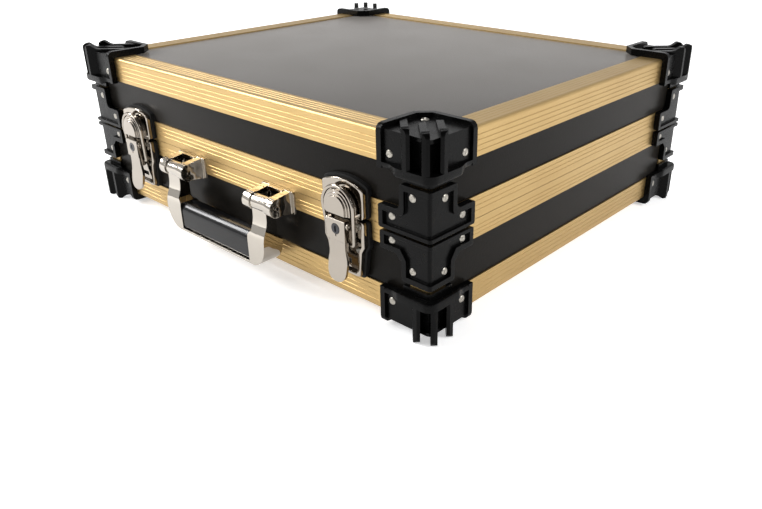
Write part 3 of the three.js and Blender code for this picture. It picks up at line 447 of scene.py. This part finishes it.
def addCornerRivets(name, signX, signY):
    plateIn = cornerRivets["plateInboard"] * mm
    plateX = signX * (halfWidth - plateIn)
    plateY = middleDepth + signY * (halfDepth - plateIn)
    for body, trim, sign in (("lid", trimHigh, 1), ("base", trimLow, -1)):
        addWallRivets(f"rivet_{body}_corner_{name}", signX, signY, cornerRivets["wallInboard"],
                      trim - sign * cornerRivets["wallFromTrim"] * mm, body)
        plateHeight = trim + sign * cornerRivets["plateProud"] * mm
        addRivet(f"rivet_{body}_plate_{name}", (plateX, plateY, plateHeight), (0, 0, sign), body)
        for index, (inboard, drop) in enumerate(cornerRivets[f"{body}Bracket"]):
            addWallRivets(f"rivet_{body}_bracket_{name}_{index + 1}", signX, signY, inboard,
                          trimHigh - drop * mm, body)


for cornerName, (cornerX, cornerY) in cornerRivets["corners"].items():
    addCornerRivets(cornerName, cornerX, cornerY)

# Rivets in the strike plates' trays, and in the hinge leaves on the back
latchRivets = {
    "centre": 146.0,
    "floorOut": 4.5,
    "places": [(14.0, 77.0), (13.0, 97.0)],
    "scale": 0.8,
}
hingeRivets = {
    "centre": 128.0,
    "leafOut": 2.0,
    "inRow": 3,
    "spread": 13.0,
    "lidRise": 11.0,
    "baseDrop": 9.5,
    "scale": 0.62,
}


def addLatchRivets(side, sign):
    for index, (reach, drop) in enumerate(latchRivets["places"]):
        for hand, handSign in (("a", -1), ("b", 1)):
            place = (sign * latchRivets["centre"] * mm + handSign * reach * mm,
                     frontFace - latchRivets["floorOut"] * mm, trimHigh - drop * mm)
            addRivet(f"rivet_latch_{side}_{index + 1}{hand}", place, (0, -1, 0), "base",
                     latchRivets["scale"])


def addHingeRivets(side, sign):
    middle = (hingeRivets["inRow"] - 1) / 2
    for body, height in (("lid", seamHeight + hingeRivets["lidRise"] * mm),
                         ("base", seamHeight - hingeRivets["baseDrop"] * mm)):
        for index in range(hingeRivets["inRow"]):
            x = sign * hingeRivets["centre"] * mm + (index - middle) * hingeRivets["spread"] * mm
            place = (x, backFace + hingeRivets["leafOut"] * mm, height)
            addRivet(f"rivet_hinge_{side}_{body}_{index + 1}", place, (0, 1, 0), body,
                     hingeRivets["scale"])


for sideName, sideSign in (("left", -1), ("right", 1)):
    addLatchRivets(sideName, sideSign)
    addHingeRivets(sideName, sideSign)
print("rivets set")

# The bails: one bent wire each, seated round the boss of the catch, where the plain solid
# has to stand in front of it. Heights are from the seam, out is from the front face.
bail = {
    "centre": 146.0,
    "wireRadius": 1.5,
    "halfSpan": 16.2,
    "archCentre": 7.5,
    "archOut": 11.6,
    "archSteps": 24,
    "footHalfSpan": 13.8,
    "footHeight": -21.5,
    "footOut": 9.4,
    "pinEnd": 8.1,
    "bendRadius": 2.6,
    "bendSteps": 6,
    "sides": 14,
}


def bailPath():
    span, centre, foot = bail["halfSpan"], bail["archCentre"], bail["footHeight"]
    arch = [(span * math.cos(math.pi * step / bail["archSteps"]),
             centre + span * math.sin(math.pi * step / bail["archSteps"]))
            for step in range(bail["archSteps"] + 1)]
    bend = bail["bendRadius"]
    turn = [(bail["footHalfSpan"] - bend + bend * math.sin(math.pi / 2 * step / bail["bendSteps"]),
             foot + bend - bend * math.cos(math.pi / 2 * step / bail["bendSteps"]))
            for step in range(bail["bendSteps"] + 1)]
    half = [(bail["pinEnd"], foot)] + turn
    flat = half + arch + [(-x, height) for x, height in reversed(half)]
    slope = (bail["archOut"] - bail["footOut"]) / (centre - foot)
    path = []
    for x, height in flat:
        out = bail["footOut"] + slope * (min(height, centre) - foot)
        path.append(Vector((x, -out, height)))
    return path


def addBail(side, sign):
    path = bailPath()
    shell = bmesh.new()
    rings = []
    seat = Vector((sign * bail["centre"] * mm, frontFace, seamHeight))
    for index, point in enumerate(path):
        ahead = path[min(index + 1, len(path) - 1)] - point
        behind = point - path[max(index - 1, 0)]
        along = (ahead.normalized() + behind.normalized()).normalized()
        across = along.cross(Vector((0, 1, 0))).normalized()
        upward = across.cross(along)
        ring = []
        for spoke in range(bail["sides"]):
            turn = 2 * math.pi * spoke / bail["sides"]
            offset = bail["wireRadius"] * (math.cos(turn) * across + math.sin(turn) * upward)
            ring.append(shell.verts.new(seat + (point + offset) * mm))
        rings.append(ring)
    for first, second in zip(rings, rings[1:]):
        for index in range(bail["sides"]):
            after = (index + 1) % bail["sides"]
            shell.faces.new((first[index], first[after], second[after], second[index]))
    shell.faces.new(list(reversed(rings[0])))
    shell.faces.new(rings[-1])
    bmesh.ops.recalc_face_normals(shell, faces=shell.faces)
    wire = newPiece(f"bail_wire_{side}", shell, materials["chrome"])
    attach(wire, f"bail_{side}")
    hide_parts(f"latch_{side}_bail")


for sideName, sideSign in (("left", -1), ("right", 1)):
    addBail(sideName, sideSign)
print("bails bent")

# The camera stands where the photograph was taken from, measured from the front face and the
# top trim, and looks the same way
cameraView = {
    "right": 0.52184,
    "beforeFront": 0.34539,
    "aboveTrim": 0.14717,
    "sight": (-0.60024, 0.67501, -0.42904),
    "rollDegrees": -0.189,
    "lens": 34.829,
    "shiftX": -0.0488,
    "shiftY": -0.0190,
    "nearest": 0.01,
}


def addCamera():
    data = bpy.data.cameras.new("camera")
    data.lens = cameraView["lens"]
    data.shift_x = cameraView["shiftX"]
    data.shift_y = cameraView["shiftY"]
    data.clip_start = cameraView["nearest"]
    camera = bpy.data.objects.new("camera", data)
    scene.collection.objects.link(camera)
    place = (cameraView["right"], frontFace - cameraView["beforeFront"],
             trimHigh + cameraView["aboveTrim"])
    turn = Vector(cameraView["sight"]).to_track_quat("-Z", "Y").to_matrix()
    roll = Matrix.Rotation(math.radians(cameraView["rollDegrees"]), 3, "Z")
    camera.matrix_world = Matrix.Translation(place) @ (turn @ roll).to_4x4()
    scene.camera = camera


# White paper sweep, matt, with a faint fibre, over a light table that fills the shadow
floorPaper = {
    "dark": "#f2f2f2",
    "light": "#f8f8f8",
    "rough": 0.9,
    "glowColour": "#ffffff",
    "glow": 0.5,
    "fibreSize": 1.5,
    "halfWidth": 6.0,
}


def addFloor():
    material, tree, surface, place = newMaterial("white_paper_sweep", {
        "Roughness": floorPaper["rough"], "Emission Color": linear(floorPaper["glowColour"]),
        "Emission Strength": floorPaper["glow"]})
    fibre = addNode(tree, "ShaderNodeTexNoise", {
        "Vector": place, "Scale": perSize(floorPaper["fibreSize"]), "Detail": 3.0})
    shade = addNode(tree, "ShaderNodeValToRGB", {"Fac": fibre},
                    stops=[(noiseLow, floorPaper["dark"]), (noiseHigh, floorPaper["light"])])
    setInputs(tree, surface, {"Base Color": shade})
    shell = bmesh.new()
    bmesh.ops.create_grid(shell, x_segments=2, y_segments=2, size=floorPaper["halfWidth"])
    newPiece("floor", shell, material)


# Soft boxes, each with a length, a width and a roll in degrees: one overhead, a bright strip high
# at the front left, which the flanks of the front grooves and the edge of the grip mirror, and
# two that light the paper before the case and on its right, which the satin gold mirrors. The
# sky is white near the floor, darker above, and dim on the side where the photographer's room
# would be.
softBoxes = {
    "overhead": {"place": (-0.3, 0.3, 1.9), "aim": (0, 0.1, 0.1),
                 "size": (0.6, 0.6, 0), "watts": 14},
    "strip": {"place": (-1.44, -0.72, 1.16), "aim": (0, -0.2, 0.1),
              "size": (1.0, 0.28, -53), "watts": 31},
    "front": {"place": (-0.9, -1.3, 0.9), "aim": (0, -0.3, 0),
              "size": (0.7, 0.7, 0), "watts": 11},
    "right": {"place": (1.5, 0.2, 0.9), "aim": (0.3, 0, 0),
              "size": (0.7, 0.7, 0), "watts": 17},
}
studioSky = {
    "horizon": "#ffffff",
    "horizonTop": 0.42,
    "zenith": "#565658",
    "zenithStart": 0.8,
    "strength": 0.95,
    "roomSide": (0.62, -0.75, 0.22),
    "roomEdge": 0.2,
    "roomHeart": 0.85,
    "roomStrength": 0.35,
}


def addLights():
    for name, box in softBoxes.items():
        data = bpy.data.lights.new(name, "AREA")
        data.shape = "RECTANGLE"
        data.size, data.size_y, rollDegrees = box["size"]
        data.energy = box["watts"]
        light = bpy.data.objects.new(name, data)
        scene.collection.objects.link(light)
        place = Vector(box["place"])
        turn = (Vector(box["aim"]) - place).to_track_quat("-Z", "Y").to_matrix().to_4x4()
        roll = Matrix.Rotation(math.radians(rollDegrees), 4, "Z")
        light.matrix_world = Matrix.Translation(place) @ turn @ roll


def addSky():
    world = bpy.data.worlds.new("studio")
    world.use_nodes = True
    tree = world.node_tree
    direction = addNode(tree, "ShaderNodeTexCoord", {}).outputs["Generated"]
    height = addNode(tree, "ShaderNodeSeparateXYZ", {"Vector": direction}).outputs["Z"]
    shade = addNode(tree, "ShaderNodeValToRGB", {"Fac": height},
                    stops=[(studioSky["horizonTop"], studioSky["horizon"]),
                           (studioSky["zenithStart"], studioSky["zenith"])])
    toRoom = addNode(tree, "ShaderNodeVectorMath", {0: direction, 1: studioSky["roomSide"]},
                     operation="DOT_PRODUCT").outputs["Value"]
    strength = addNode(tree, "ShaderNodeMapRange", {
        "Value": toRoom, "From Min": studioSky["roomEdge"], "From Max": studioSky["roomHeart"],
        "To Min": studioSky["strength"], "To Max": studioSky["roomStrength"]})
    setInputs(tree, tree.nodes["Background"], {"Color": shade, "Strength": strength})
    scene.world = world


addFloor()
addLights()
addSky()
addCamera()
scene.view_settings.view_transform = "Standard"
print("stage set")
